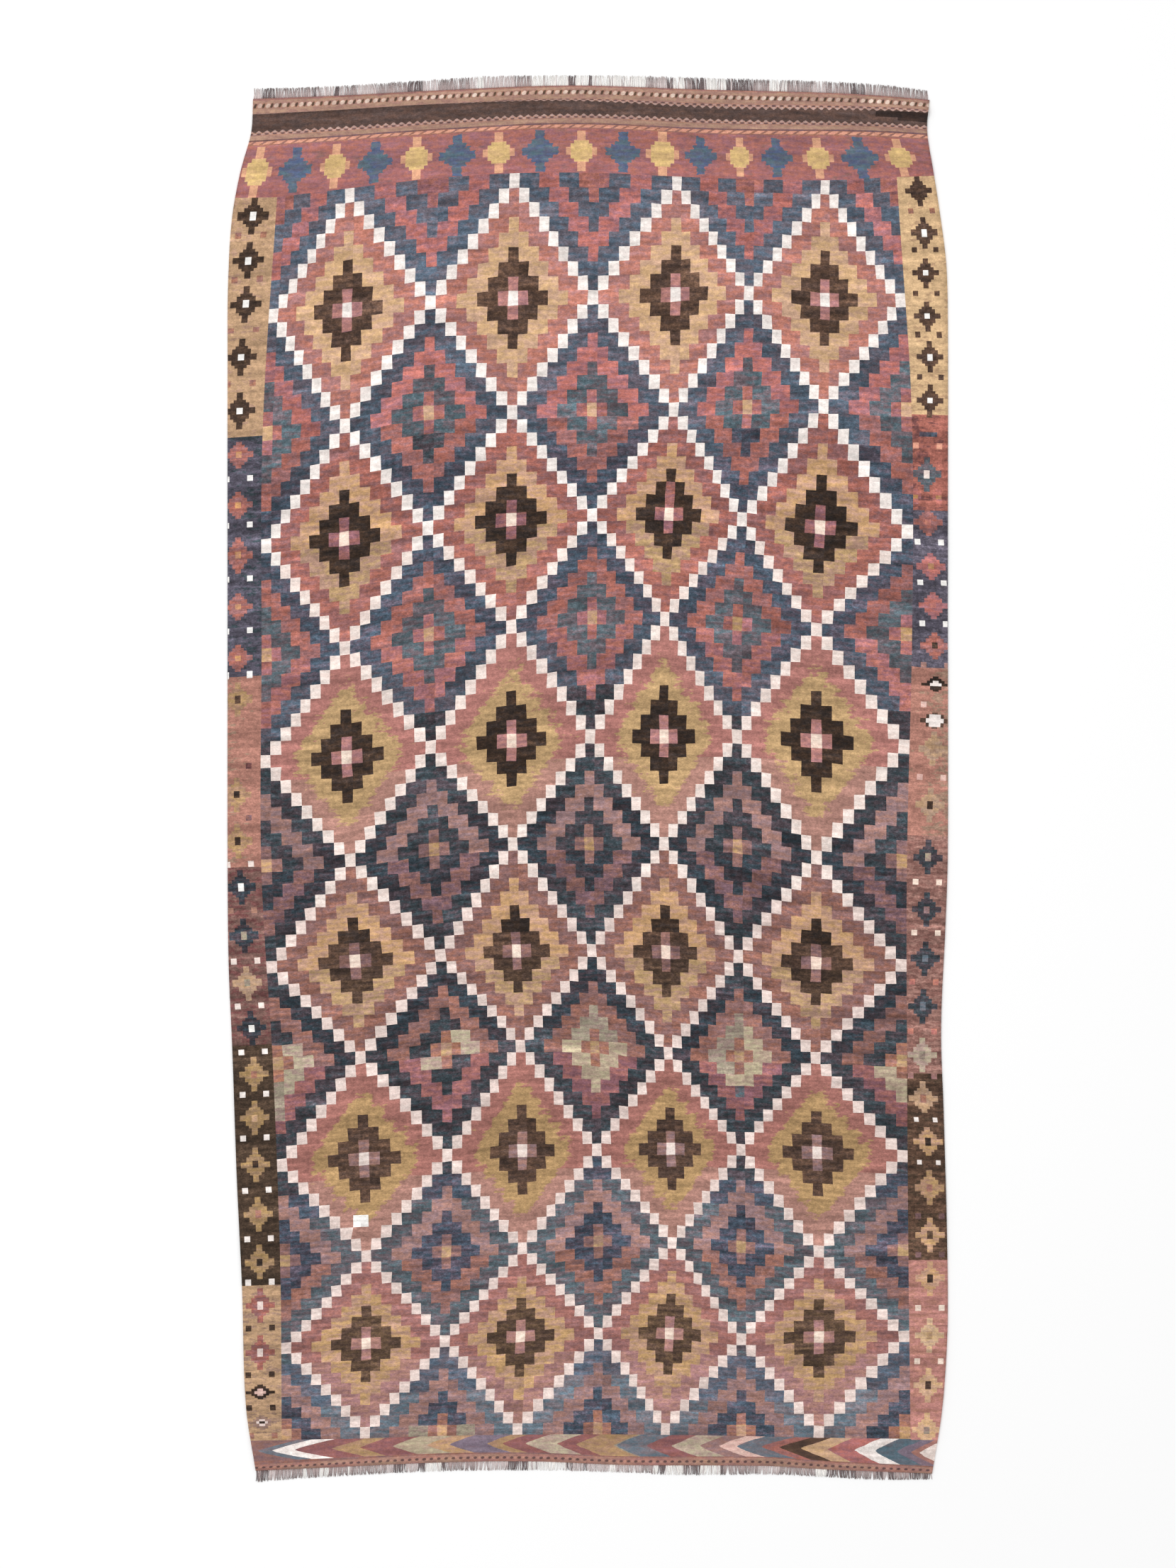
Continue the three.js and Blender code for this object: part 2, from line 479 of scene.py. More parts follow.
# Motifs down the border: (kind, along, yarn, yarn of its middle).
LEFT_MOTIFS = (
    ("star", 1171, "bark", "bleached"), ("pair", 1131, "rust", None),
    ("star", 1079, "bark", "bleached"), ("pair", 1039, "rust", None),
    ("star", 987, "bark", "bleached"), ("pair", 935, "rust", None),
    ("star", 877, "bark", "bleached"), ("pair", 822, "rust", None),
    ("star", 765, "bark", "bleached"),
    ("flower", 673, "brick", "saffron"), ("pair", 624, "bleached", None),
    ("flower", 568, "brick", "saffron"), ("pair", 527, "bleached", None),
    ("tall flower", 464, "brick", "saffron"), ("pair", 415, "bleached", None),
    ("flower", 357, "brick", "saffron"), ("pair", 307, "bleached", None),
    ("flower", 250, "brick", "saffron"), ("pair", 214, "bleached", None),
    ("star", 164, "gold", "walnut"), ("dot", 25, "burgundy", None),
    ("star", -35, "gold", "peat"), ("dot", -83, "wine", None),
    ("star", -131, "gold", "peat"), ("pair", -179, "warm ivory", None),
    ("star", -227, "night", "bleached"), ("pair", -275, "clay", None),
    ("star", -328, "night", "grey sage"), ("pair", -381, "warm ivory", None),
    ("star", -427, "fawn", "grey sage"), ("pair", -474, "warm ivory", None),
    ("star", -520, "night", "bleached"), ("pair", -570, "ivory", None),
    ("star", -616, "wheat", "rust"), ("pair", -658, "ivory", None),
    ("star", -707, "wheat", "camel"), ("pair", -749, "ivory", None),
    ("star", -805, "wheat", "peat"), ("pair", -858, "ivory", None),
    ("star", -908, "wheat", "rust"), ("pair", -959, "ivory", None),
    ("star", -1007, "wheat", "peat"), ("pair", -1050, "ivory", None),
    ("star", -1098, "brick", "rosy ivory"), ("pair", -1145, "bark", None),
    ("star", -1196, "brick", "rosy ivory"), ("pair", -1242, "bark", None),
    ("lozenge", -1278, "peat", "shell"), ("pair", -1311, "bark", None),
    ("speck", -1342, "peat", None), ("lozenge", -1342, "dun", "rosy ivory"), ("pair", -1369, "rust", None),
)
RIGHT_MOTIFS = (
    ("star", 1224, "walnut", "walnut"), ("pair", 1182, "rust", None),
    ("star", 1136, "walnut", "bleached"), ("pair", 1101, "walnut", None),
    ("star", 1053, "walnut", "bleached"), ("pair", 1010, "walnut", None),
    ("star", 963, "walnut", "bleached"), ("pair", 923, "walnut", None),
    ("star", 878, "walnut", "bleached"), ("pair", 836, "walnut", None),
    ("star", 787, "walnut", "bleached"),
    ("dash", 716, "navy", None), ("pair", 692, "peach", None),
    ("star", 633, "slate", "warm ivory"), ("twins", 588, "salmon", "saffron"),
    ("flower", 533, "brick", "coral"), ("pair", 492, "bleached", None),
    ("flower", 441, "salmon", "saffron"), ("pair", 408, "bleached", None),
    ("flower", 360, "salmon", "coral"), ("pair", 322, "bleached", None),
    ("flower", 276, "brick", "peat"), ("pair", 235, "mauve", None),
    ("lozenge", 196, "peat", "ivory"), ("dot", 153, "shell", None),
    ("eye", 120, "walnut", "ivory"), ("star", 62, "fawn", "straw"), ("pair", 2, "shell", None),
    ("star", -56, "fawn", "peat"),
    ("star", -164, "ink", "sage"), ("pair", -216, "cream", None),
    ("star", -273, "ink", "mauve"), ("pair", -322, "cream", None),
    ("star", -376, "ink", "smoke"), ("pair", -424, "coral", None),
    ("star", -475, "ink", "smoke"), ("pair", -527, "coral", None),
    ("star", -576, "sage", "grey sage"), ("pair", -620, "faded rose", None),
    ("star", -667, "fawn", "rust"), ("pair", -711, "ivory", None),
    ("star", -757, "ochre", "peat"), ("pair", -800, "ivory", None),
    ("star", -852, "gold", "rust"), ("pair", -912, "umber rose", None),
    ("star", -951, "ochre", "cocoa"), ("pair", -992, "umber rose", None),
    ("star", -1042, "biscuit", "peat"), ("pair", -1103, "cream", None),
    ("star", -1160, "pale camel", "olive camel"), ("pair", -1214, "cream", None),
    ("star", -1264, "camel", "walnut"),
    ("star", -1357, "camel", "grey sage"),
)


class Border:
    """One border: its columns from the selvedge in, its thin courses, and the yarn of each step."""

    def __init__(self, side, line, panels, motifs, girths):
        self.side = side
        self.line = line
        self.panels = panels
        self.motifs = motifs
        self.girths = girths
        self.offsets = [-edge for edge in MOTIF_LINES] + list(reversed(MOTIF_LINES))
        self.columns = len(self.offsets) + 1
        self.heights = self.lay_courses()

    def tilt(self, course):
        """How much the wefts climb on their way outwards, carried on from the field."""
        edge = -0.5 if self.side < 0 else STEPS - 0.5
        inner = field_place(edge, course)
        further = field_place(edge - self.side * TILT_STEPS, course)
        carried = CARRIED_TILT
        if self.side < 0:
            carried = min(CARRIED_TILT, FIRST_TILT + (course + 0.5) / TILT_COURSES)
        return carried * (inner[1] - further[1]) / (inner[0] - further[0])

    def inner(self, course):
        return field_place(-0.5 if self.side < 0 else STEPS - 0.5, course)

    def girth(self, along):
        return [size for start, size in self.girths if along < start][-1]

    def lay_courses(self):
        """Where each thin course's edge crosses the motifs' line, settled onto the motifs' own edges."""
        heights = []
        for thin in range(COURSES * THIN + 1):
            course = thin / THIN - 0.5
            across, along = self.inner(course)
            heights.append(along + self.tilt(course) * (smooth(self.line, along) - across))
        step = (heights[0] - heights[-1]) / (len(heights) - 1)
        edges = []
        for kind, along, yarn, middle in self.motifs:
            outline, core = SHAPES.get(kind, (((DOT_HEIGHT, 0),), ()))
            for half, width in outline + core:
                half *= self.girth(along)
                edges += [along + half, along - half]
        settled = []
        for height in heights:
            off = min((edge - height for edge in edges), key=abs)
            move = max(-SETTLING * step, min(SETTLING * step, off)) if abs(off) < step / 2 else 0
            settled.append(height + move)
        return settled

    def place(self, column, thin):
        """The corner at one column's edge, counted from the selvedge, and one thin course's edge."""
        course = thin / THIN - 0.5
        inner_across, inner_along = self.inner(course)
        if column == self.columns:
            return inner_across, inner_along
        height = self.heights[thin]
        middle = smooth(self.line, height)
        tilt = self.tilt(course)
        outer = selvedge(self.side, height + tilt * self.side * SLANT_OVER)
        if column == 0:
            across = outer
        else:
            across = middle - self.side * self.offsets[column - 1] * self.girth(height)
            room = self.side * (outer - across)
            across -= self.side * max(0, LEAST_STEP * column - room)
            room = self.side * (across - inner_across)
            across += self.side * max(0, LEAST_STEP * (self.columns - column) - room)
        return across, height + tilt * (across - middle)

    def motif_yarn(self, over, along):
        """The yarn of a motif at a distance from the motifs' line and a place along, or None."""
        for kind, centre, yarn, middle in self.motifs:
            rise = abs(along - centre) / self.girth(along)
            if rise > MOTIF_REACH:
                continue
            if kind == "twins":
                if OUTER < abs(over) < OUTERMOST and rise < TWIN_HEIGHT:
                    return middle if rise < TWIN_HEART else yarn
                if INNER < abs(over) < OUTER and rise < TWIN_SIDE:
                    return yarn
                continue
            if kind in ("pair", "dot"):
                wanted = abs(over) if kind == "pair" else -over * self.side
                if OUTER < wanted < OUTERMOST and rise < DOT_HEIGHT:
                    return yarn
                continue
            outline, core = SHAPES[kind]
            if any(rise < half and abs(over) < width for half, width in core):
                return middle or yarn
            if any(rise < half and abs(over) < width for half, width in outline):
                return yarn
        return None

    def yarn(self, column, thin):
        """The yarn of one step, the yarn hatched into it, and that one's share at its two sides."""
        along = (self.heights[thin] + self.heights[thin + 1]) / 2
        edges = [-MOTIF_REACH] + self.offsets + [MOTIF_REACH]
        over = -self.side * (edges[column] + edges[column + 1]) / 2
        motif = self.motif_yarn(over, along)
        if motif:
            return motif, None, 0, 0
        for end, ground, hatched, outer_share, inner_share in self.panels:
            if along > end:
                break
        start = outer_share + (inner_share - outer_share) * column / self.columns
        stop = outer_share + (inner_share - outer_share) * (column + 1) / self.columns
        return ground, hatched, start, stop


LEFT = Border(-1, LEFT_LINE, LEFT_PANELS, LEFT_MOTIFS, LEFT_GIRTHS)
RIGHT = Border(1, RIGHT_LINE, RIGHT_PANELS, RIGHT_MOTIFS, RIGHT_GIRTHS)

# ----------------------------------------
# The banded ends, from the outer edge in: name, its depths from the left selvedge to the right, rows of
# mesh in it, its yarn, and its finish. The last band of each end takes up what is left.
# ----------------------------------------

DEPTHS_AT = (-1, -0.5, 0, 0.5, 1)
DARK_END_BANDS = (
    ("edge", (4, 3.5, 3, 3, 3), 1, "dusty clay", "wool"),
    ("outer tan line", (6, 5, 5.5, 7, 3), 1, "tan", "wool"),
    ("wrapped row", (11, 10, 10, 10, 10), 1, "clay", "wrapped_row"),
    ("tan line", (10, 9, 8, 6.5, 4), 1, "tan", "wool"),
    ("upper teeth", (1.5, 1, 6.5, 12.5, 8), 1, "clay", "upper_teeth"),
    ("dark band", (35, 33, 25, 21, 25), 4, "band brown", "wool"),
    ("lower teeth", (10.5, 11, 10.5, 11, 10), 1, "clay", "lower_teeth"),
    ("tan band", (9, 8, 9, 8.5, 6.5), 1, "tan", "wool"),
    ("brown line", (3, 3, 3, 3, 3), 1, "wine", "wool"),
    ("slanted dashes", (9, 8.5, 8.5, 9, 10), 1, "rust", "slanted_dashes"),
    ("lozenge ground", None, 4, "madder", "lozenges"),
)
CHEVRON_END_BANDS = (
    ("dotted row", (12, 16, 15.5, 16, 13), 1, "rose tan", "dotted_row"),
    ("red line", (7, 3, 2.5, 2.5, 2.5), 1, "russet", "wool"),
    ("chevrons", None, 3, "madder", "chevrons"),
)
FINISHES = ("wool", "wrapped_row", "upper_teeth", "lower_teeth", "slanted_dashes", "lozenges",
            "dotted_row", "chevrons")
LOZENGES = (-689, -610, -526, -443, -356, -272, -185, -99, -13, 74, 156, 235, 317, 393, 480, 568, 651)
# The dark band is darkened along its fold with painted shade, the fold's shadow: from which step on, for how
# many of its rows.
FOLD_SHADOW_STEPS = ((63, 2), (66, 3))


class BandedEnd:
    """One banded end, between the field's first or last course and the end of the cloth."""

    def __init__(self, way, edge, bands, corners):
        self.way = way
        self.edge = edge
        self.bands = bands
        self.corners = corners
        self.course = 0 if way > 0 else COURSES
        self.rows = sum(band[2] for band in bands)

    def end_along(self, across):
        return self.way * (HALF_LENGTH - smooth(self.edge, across))

    def spans(self, lean, room):
        """Each band's depth where the cloth is so far over, from -1 at the left to 1 at the right."""
        depths = []
        for name, profile, rows, yarn, finish in self.bands:
            if profile is None:
                depths.append(room - sum(depths))
            else:
                depths.append(smooth(tuple(zip(DEPTHS_AT, profile)), lean))
        return depths

    def depth(self, lean, room, row):
        """How far inside the end of the cloth one row's edge lies; row 0 is the outermost."""
        depths = self.spans(lean, room)
        passed = 0
        for band, depth in zip(self.bands, depths):
            if row <= band[2]:
                return passed + depth * row / band[2]
            passed += depth
            row -= band[2]
        return room

    def place(self, column, row):
        """The corner at a column's edge, counted from the left selvedge, and at a row's edge."""
        left = corner_of(0, self.course)
        right = corner_of(COLUMNS, self.course)
        start = corner_of(column, self.course)
        share = (start[0] - left[0]) / (right[0] - left[0])
        lean = 2 * share - 1
        ends = []
        for side, inner in ((-1, left), (1, right)):
            outer = self.end_along(self.corners[0 if side < 0 else 1])
            room = abs(outer - inner[1])
            along = outer - self.way * self.depth(side, room, row)
            ends.append(selvedge(side, along))
        across = ends[0] + share * (ends[1] - ends[0])
        outer = self.end_along(self.corners[0] + share * (self.corners[1] - self.corners[0]))
        room = abs(outer - start[1])
        return across, outer - self.way * self.depth(lean, room, row)

    def band_of(self, row):
        """The band that a row of mesh belongs to, and how many of the band's own rows come before it."""
        for band in self.bands:
            if row < band[2]:
                return band, row
            row -= band[2]


COLUMNS = STEPS + LEFT.columns + RIGHT.columns
DARK_END = BandedEnd(1, DARK_BAND_END, DARK_END_BANDS, (-697, 712))
FAR_END = BandedEnd(-1, CHEVRON_END, CHEVRON_END_BANDS, (-692, 719))


def corner_of(column, course_edge):
    """A corner of the field or a border, by its column from the left selvedge and its course's edge."""
    if column < LEFT.columns:
        return LEFT.place(column, round(course_edge * THIN))
    if column > LEFT.columns + STEPS:
        return RIGHT.place(COLUMNS - column, round(course_edge * THIN))
    return field_place(column - LEFT.columns - 0.5, course_edge - 0.5)


# ----------------------------------------
# The cloth: one closed mesh, laid out flat on a chart and then drawn to its place.
# ----------------------------------------

CHART_TOP = DARK_END.rows
UNEVEN = 1.1  # how far a step's corner strays
RIPPLE = 1.1  # how far the cloth lifts off the floor between the places where it touches
SLOW_RIPPLE, QUICK_RIPPLE = (260, 190), (90, 70)  # how long the ripples are, across and along
PUCKER = {"across": (600, 720), "fades": (40, 30), "along": 1388, "half": 9, "height": 5.5}
# Corners of the field that lie aside of their place, by the edges of step and course: how far over.
NUDGES = {(7, 77): 5, (7, 78): 5, (9, 77): -6, (9, 78): -6}
CRISP, HATCHED_CRISP = 0.3, 0.6  # how sharply two lots of wool, and two hatched yarns, part
END_WANDER = 0.6  # how much the ends' yarns wander beside the field's
# How dark the painted shadow along the dark band's fold is.
FOLD_SHADOW_DARKNESS = 0.35
COURSE_DEPTH = 0.027  # of a course in the weft's own coordinates, in metres
END_SHIFT = 5  # sets the ends apart from the field in those coordinates, in metres
ROW_RANK, SIDE_RANK = 1e3, 1e9  # so that a row outranks its steps, and a side of the cloth its rows


def chart_grid(chart, left, top, columns, rows, deep=1):
    """Adds a patch of the chart, its top left corner at a column and a row, to the bmesh."""
    middle = Vector((left + columns / 2, -(top + rows * deep / 2), 0))
    size = Matrix.Translation(middle) @ Matrix.Diagonal((columns, rows * deep, 1, 1))
    bmesh.ops.create_grid(chart, x_segments=columns, y_segments=rows, size=0.5, matrix=size)


def corner_place(column, row):
    """Where a corner of the chart lies, in millimetres; row 0 is the field's first edge."""
    if row < -0.01:
        return DARK_END.place(column, round(row) + DARK_END.rows)
    if row > COURSES + 0.01:
        return FAR_END.place(column, FAR_END.rows - (round(row) - COURSES))
    across, along = corner_of(column, row)
    if LEFT.columns < column < LEFT.columns + STEPS and 0.5 < row < COURSES - 0.5:
        stray = random.Random(column * 1009 + round(row) * 9176)
        across += stray.uniform(-UNEVEN, UNEVEN) + NUDGES.get((column - LEFT.columns, round(row)), 0)
        along += stray.uniform(-UNEVEN, UNEVEN)
    return across, along


def lift(across, along):
    """How far the cloth stands off the floor: slow ripples, and the pucker in the dark band."""
    slow = noise.noise(Vector((across / SLOW_RIPPLE[0], along / SLOW_RIPPLE[1], 3.1)))
    quick = noise.noise(Vector((across / QUICK_RIPPLE[0], along / QUICK_RIPPLE[1], 8.4)))
    rise = RIPPLE * max(0, 0.25 + slow * 1.1 + quick * 0.5)
    start, end = PUCKER["across"]
    rising, falling = PUCKER["fades"]
    inside = max(0, min(1, (across - start) / rising)) * max(0, min(1, (end + falling - across) / falling))
    off = (along - PUCKER["along"]) / PUCKER["half"]
    return rise + PUCKER["height"] * inside * math.exp(-off * off)


def paint(face, layers, yarn, second=None, shares=None, seed=0.0, shade=1.0, blend=0.5, wander=1.0):
    """Writes a step's yarn onto its corners, or two yarns and the second one's share at each corner."""
    crisp = HATCHED_CRISP if second else CRISP
    force = heather(yarn) / 3 * wander
    for index, loop in enumerate(face.loops):
        loop[layers["yarn"]] = dye(yarn, shade)
        loop[layers["second"]] = dye(second, shade) if second else dye(yarn, shade, 1)
        loop[layers["lay"]] = (shares[index] if shares else blend, seed, force, crisp)


def paint_field(face, layers, column, row):
    step, course = column - LEFT.columns, row
    yarn, hatched, heart, ring = field_yarn(step, course)
    lucky = random.Random(step * 89 + course * 1013)
    if heart is None:
        paint(face, layers, yarn, seed=lucky.random(), shade=1 + lucky.uniform(-0.05, 0.03))
        return
    quarter = (3 if step > heart[0] else 0) + (5 if course > heart[1] else 0)
    batch = random.Random(heart[0] * 7 + heart[1] * 131 + ring // 2 * 17 + quarter)
    run = random.Random(heart[0] * 13 + course * 271 + ring // 2 * 29 + (7 if step > heart[0] else 0))
    uneven = 0.4 if heart[0] % REPEAT else 0.8
    shade = 1 + uneven * (batch.uniform(-0.11, 0.11) + run.uniform(-0.1, 0.1) + lucky.uniform(-0.04, 0.04))
    blend = 0.5 + run.uniform(-0.12, 0.12)
    if not hatched:
        paint(face, layers, yarn, seed=batch.random(), shade=shade, blend=blend)
        return
    second, spread = hatched
    shares = []
    for loop in face.loops:
        over = abs(loop.vert.co.x - LEFT.columns - heart[0] - 0.5)
        down = abs(-loop.vert.co.y - heart[1] - 0.5)
        shares.append(max(0.0, min(1.0, 0.5 + (over + down - 5.5) / (2 * spread))))
    seed = random.Random(heart[0] + heart[1] * 31).random()
    paint(face, layers, yarn, second, shares, seed, 1 + batch.uniform(-0.04, 0.04))


def paint_border(face, layers, border, column, thin):
    yarn, hatched, outer, inner = border.yarn(column, thin)
    seed = 0.37 if border is LEFT else 0.71
    if not hatched:
        paint(face, layers, yarn, seed=seed)
        return
    shares = []
    for loop in face.loops:
        at = loop.vert.co.x if border is LEFT else COLUMNS - loop.vert.co.x
        shares.append(outer if at < column + 0.5 else inner)
    paint(face, layers, yarn, hatched, shares, seed)


def paint_end(face, layers, end, column, row):
    band, passed = end.band_of(row)
    name, depths, rows, yarn, finish = band
    face.material_index = FINISHES.index(finish)
    # Faces along the dark band's fold are darkened: painted shade standing in for the fold's shadow.
    in_fold_shadow = name == "dark band" and any(column - LEFT.columns >= start and passed < deep
                                         for start, deep in FOLD_SHADOW_STEPS)
    seed = 0.11 * end.bands.index(band)
    paint(face, layers, yarn, seed=seed, shade=FOLD_SHADOW_DARKNESS if in_fold_shadow else 1, wander=END_WANDER)
    return passed, rows, finish


def lay_uv(face, layers, end=None, row=0, passed=0, rows=1, finish="wool"):
    """The cloth's own coordinates: metres along the wefts and the warps, and the place in a band."""
    for loop in face.loops:
        column, down = loop.vert.co.x, -loop.vert.co.y
        across, along = corner_place(round(column), down)
        if end is None:
            loop[layers["weft"]].uv = (across * MM, down * COURSE_DEPTH)
            continue
        outer = end.end_along(across)
        loop[layers["weft"]].uv = (across * MM, END_SHIFT * end.way + abs(outer - along) * MM)
        edge = down + CHART_TOP if end is DARK_END else FAR_END.rows - (down - COURSES)
        share = (round(edge) - row + passed) / rows
        motif = across * MM
        if finish == "lozenges":
            motif = smooth([(place, index) for index, place in enumerate(LOZENGES)], across)
        loop[layers["motif"]].uv = (motif, share)


def settle_order(chart):
    """Puts the chart's elements in order, side by side and row by row, as solidify leaves its rim mixed."""
    def rank(place):
        return place.x - place.y * ROW_RANK - place.z * SIDE_RANK

    chart.verts.sort(key=lambda vert: rank(vert.co))
    chart.edges.sort(key=lambda edge: rank((edge.verts[0].co + edge.verts[1].co) / 2))
    chart.faces.sort(key=lambda face: rank(face.calc_center_bounds()))


def chart_cloth():
    """The whole cloth flat on its chart: a face to each step of the field, the borders and the ends."""
    chart = bmesh.new()
    chart_grid(chart, 0, -CHART_TOP, COLUMNS, CHART_TOP)
    chart_grid(chart, 0, COURSES, COLUMNS, FAR_END.rows)
    chart_grid(chart, 0, 0, LEFT.columns, COURSES * THIN, 1 / THIN)
    chart_grid(chart, LEFT.columns + STEPS, 0, RIGHT.columns, COURSES * THIN, 1 / THIN)
    before = len(chart.edges)
    chart_grid(chart, LEFT.columns, 0, STEPS, COURSES)
    chart.edges.ensure_lookup_table()
    sides = []
    for edge in chart.edges[before:]:
        first, second = (vert.co.x for vert in edge.verts)
        on_side = abs(first - LEFT.columns) < 0.01 or abs(first - LEFT.columns - STEPS) < 0.01
        if abs(first - second) < 0.01 and on_side:
            sides.append(edge)
    bmesh.ops.subdivide_edges(chart, edges=sides, cuts=THIN - 1)
    bmesh.ops.remove_doubles(chart, verts=chart.verts, dist=0.02)
    return chart


def make_piece(name, shape):
    """Turns a finished bmesh into an object at the origin."""
    bmesh.ops.recalc_face_normals(shape, faces=shape.faces)
    mesh = bpy.data.meshes.new(name)
    shape.to_mesh(mesh)
    shape.free()
    piece = bpy.data.objects.new(name, mesh)
    bpy.context.collection.objects.link(piece)
    return piece


def weave_cloth():
    """The cloth: its chart painted with its yarns, given its thickness and drawn to its place."""
    chart = chart_cloth()
    layers = {
        "weft": chart.loops.layers.uv.new("Weft"),
        "motif": chart.loops.layers.uv.new("Motif"),
        "yarn": chart.loops.layers.float_color.new("yarn"),
        "second": chart.loops.layers.float_color.new("second"),
        "lay": chart.loops.layers.float_color.new("lay"),
    }
    for face in chart.faces:
        centre = face.calc_center_bounds()
        column, row = math.floor(centre.x), math.floor(-centre.y)
        if row < 0:
            out = row + CHART_TOP
            lay_uv(face, layers, DARK_END, out, *paint_end(face, layers, DARK_END, column, out))
        elif row >= COURSES:
            out = FAR_END.rows - 1 - (row - COURSES)
            lay_uv(face, layers, FAR_END, out, *paint_end(face, layers, FAR_END, column, out))
        else:
            thin = math.floor(-centre.y * THIN)
            if column < LEFT.columns:
                paint_border(face, layers, LEFT, column, thin)
            elif column >= LEFT.columns + STEPS:
                paint_border(face, layers, RIGHT, COLUMNS - 1 - column, thin)
            else:
                paint_field(face, layers, column, row)
            lay_uv(face, layers)
    everything = chart.faces[:] + chart.edges[:] + chart.verts[:]
    bmesh.ops.solidify(chart, geom=everything, thickness=THICKNESS * MM)
    settle_order(chart)
    for vert in chart.verts:
        across, along = corner_place(round(vert.co.x), -vert.co.y)
        over = THICKNESS if vert.co.z > -THICKNESS * MM / 2 else 0
        vert.co = Vector((across, along, over + lift(across, along))) * MM
    bake = chart.loops.layers.uv.new("OFBake")
    low, high = Vector(cloth_low), Vector(cloth_high)
    for face in chart.faces:
        face.smooth = True
        for loop in face.loops:
            point = loop.vert.co
            loop[bake].uv = ((point.x - low.x) / (high.x - low.x), (point.y - low.y) / (high.y - low.y))
    return make_piece("kilim_cloth", chart)


# ----------------------------------------
# Shader kit
# ----------------------------------------


class Wire:
    """A socket that takes part in arithmetic: each operator adds the Math node that it stands for."""

    def __init__(self, bench, socket):
        self.bench = bench
        self.socket = socket

    def __add__(self, other):
        return self.bench.math("ADD", self, other)

    def __sub__(self, other):
        return self.bench.math("SUBTRACT", self, other)

    def __rsub__(self, other):
        return self.bench.math("SUBTRACT", other, self)

    def __mul__(self, other):
        return self.bench.math("MULTIPLY", self, other)

    def __truediv__(self, other):
        return self.bench.math("DIVIDE", self, other)

    def __mod__(self, other):
        return self.bench.math("FLOORED_MODULO", self, other)

    def __lt__(self, other):
        return self.bench.math("LESS_THAN", self, other)

    def __gt__(self, other):
        return self.bench.math("GREATER_THAN", self, other)

    def __abs__(self):
        return self.bench.math("ABSOLUTE", self)

    __radd__ = __add__
    __rmul__ = __mul__


class Bench:
    """One material, and the few ways in which nodes are added to it."""

    def __init__(self, name):
        self.material = bpy.data.materials.new(name)
        self.material.use_nodes = True
        self.tree = self.material.node_tree
        self.tree.nodes.clear()

    def node(self, kind, settings=None, sockets=None):
        """Adds a node of a type, then its settings, then its sockets' values or links."""
        node = self.tree.nodes.new("ShaderNode" + kind)
        for key, value in (settings or {}).items():
            if key == "stops":
                self.fill_ramp(node.color_ramp, value)
            else:
                setattr(node, key, value)
        for key, value in (sockets or {}).items():
            if isinstance(value, Wire):
                self.tree.links.new(value.socket, node.inputs[key])
            else:
                node.inputs[key].default_value = value
        return node

    def fill_ramp(self, ramp, stops):
        ramp.interpolation = "CONSTANT"
        while len(ramp.elements) < len(stops):
            ramp.elements.new(0.5)
        for element, (place, colour) in zip(ramp.elements, stops):
            element.position = place
            element.color = colour

    def wire(self, node, output=0):
        return Wire(self, node.outputs[output])

    def math(self, operation, *values):
        return self.wire(self.node("Math", {"operation": operation}, dict(enumerate(values))))

    def clamp(self, value):
        return self.wire(self.node("Clamp", None, {0: value}))

    def mix(self, share, first, second):
        return self.wire(self.node("Mix", {"data_type": "RGBA"}, {0: share, 6: first, 7: second}), 2)

    def brighten(self, colour, factor):
        scaled = self.node("VectorMath", {"operation": "SCALE"}, {0: colour, "Scale": factor})
        return self.wire(scaled)

    def uv(self, name):
        node = self.node("SeparateXYZ", None, {0: self.wire(self.node("UVMap", {"uv_map": name}))})
        return self.wire(node, 0), self.wire(node, 1)

    def attribute(self, name):
        return self.wire(self.node("Attribute", {"attribute_name": name}))

    def finish(self, sockets):
        """Closes the material with one Principled shader, and hands it over."""
        shader = self.wire(self.node("BsdfPrincipled", None, sockets))
        self.node("OutputMaterial", None, {"Surface": shader})
        return self.material

    def noise(self, x, y, z, detail=2.0):
        point = self.wire(self.node("CombineXYZ", None, {0: x, 1: y, 2: z}))
        sockets = {"Vector": point, "Scale": 1.0, "Detail": detail, "Roughness": 0.55}
        return self.wire(self.node("TexNoise", None, sockets))


# ----------------------------------------
# Finishes
# ----------------------------------------

RIB = 0.0029  # from one warp to the next
PICK = 0.0013  # from one weft to the next
# From one motif to the next in each small pattern.
WRAP_REPEAT = 0.0172
TEETH_REPEAT = 0.0165
DASH_REPEAT = 0.0222
DOT_REPEAT = 0.0152


def weft_marks(bench):
    """The weft's coordinates, and its lay: the second yarn's share, a seed, the wander and the crispness."""
    across, along = bench.uv("Weft")
    lay = bench.node("SeparateColor", None, {0: bench.attribute("lay")})
    share, seed, force = (bench.wire(lay, index) for index in range(3))
    crisp = bench.wire(bench.node("Attribute", {"attribute_name": "lay"}), 3)
    return across, along, share, seed, force, crisp


def yarn_colour(bench, across, along, share, seed, crisp):
    """The step's own yarn with the second one worked in, pick by pick."""
    picks = bench.noise(across * 34 + seed * 20, along * 130, seed * 5 + 2)
    flecks = bench.noise(across * 95, along * 180, 6.5)
    level = (picks * 0.6 + flecks * 0.4 - 0.5) * 2.6 + 0.5
    worked = bench.clamp((share - level) * crisp * 8 + 0.5)
    return bench.mix(worked, bench.attribute("yarn"), bench.attribute("second"))


